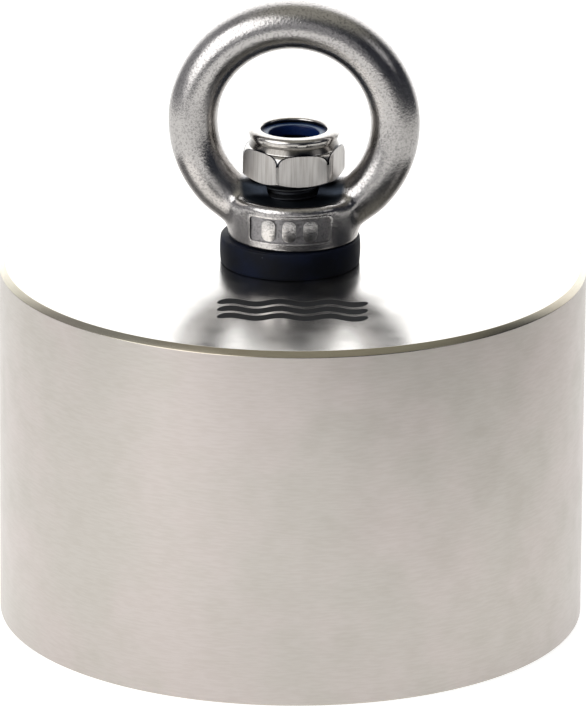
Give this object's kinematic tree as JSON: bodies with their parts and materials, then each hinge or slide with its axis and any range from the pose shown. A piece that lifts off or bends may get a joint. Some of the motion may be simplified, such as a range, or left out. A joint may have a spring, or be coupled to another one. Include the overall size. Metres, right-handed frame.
{
  "type": "magnet fishing magnet",
  "caption": "Heavy cylindrical pot magnet for magnet fishing, with a turning lifting eye nut and a self-locking nut on a bolt through its core.",
  "frame": {"origin": "centre of the working face, in the plane of the pot's rim", "axes": "+Z along the bolt from the working face to the eye; the eye's ring lies in the XZ plane, and its marked hub front faces -Y"},
  "size_m": [0.117, 0.117, 0.1269],
  "materials": {
    "pot_nickel": "nickel plated steel, mirror back and satin side",
    "magnet_nickel": "nickel plated sintered magnet, satin",
    "potting_resin": "cast epoxy, semi-matt",
    "bush_brass": "turned",
    "bolt_steel": "stainless, rolled thread",
    "spacer_rubber": "moulded, satin",
    "eye_steel": "cast stainless, tumbled and polished",
    "nut_steel": "stainless, bright",
    "insert_nylon": "dyed nylon, semi-gloss"
  },
  "bodies": {
    "magnet": {"pot_shell": "pot_nickel", "ring_magnet_upper": "magnet_nickel", "ring_magnet_middle": "magnet_nickel", "ring_magnet_lower": "magnet_nickel", "potting_ring": "potting_resin", "core_bush": "bush_brass", "through_bolt": "bolt_steel", "rubber_spacer": "spacer_rubber"},
    "eye": {"eye_nut": "eye_steel"},
    "insert": {"lock_nut_insert": "insert_nylon"},
    "nut": {"lock_nut": "nut_steel"}
  },
  "joints": [
    {"name": "eye_turn", "type": "hinge", "parent": "magnet", "child": "eye", "pos_m": [0, 0, 0.0785], "axis": [0, 0, 1], "range_deg": [-90, 90]},
    {"name": "nut_rise", "type": "slide", "parent": "eye", "child": "insert", "axis": [0, 0, 1], "range_m": [0, 0.0053]},
    {"name": "nut_turn", "type": "hinge", "parent": "insert", "child": "nut", "pos_m": [0, 0, 0.0907], "axis": [0, 0, 1], "range_deg": [0, 1080]}
  ],
  "couplings": [
    {"joint": "nut_rise", "follows": "nut_turn", "m_per_rad": 0.00027852}
  ]
}
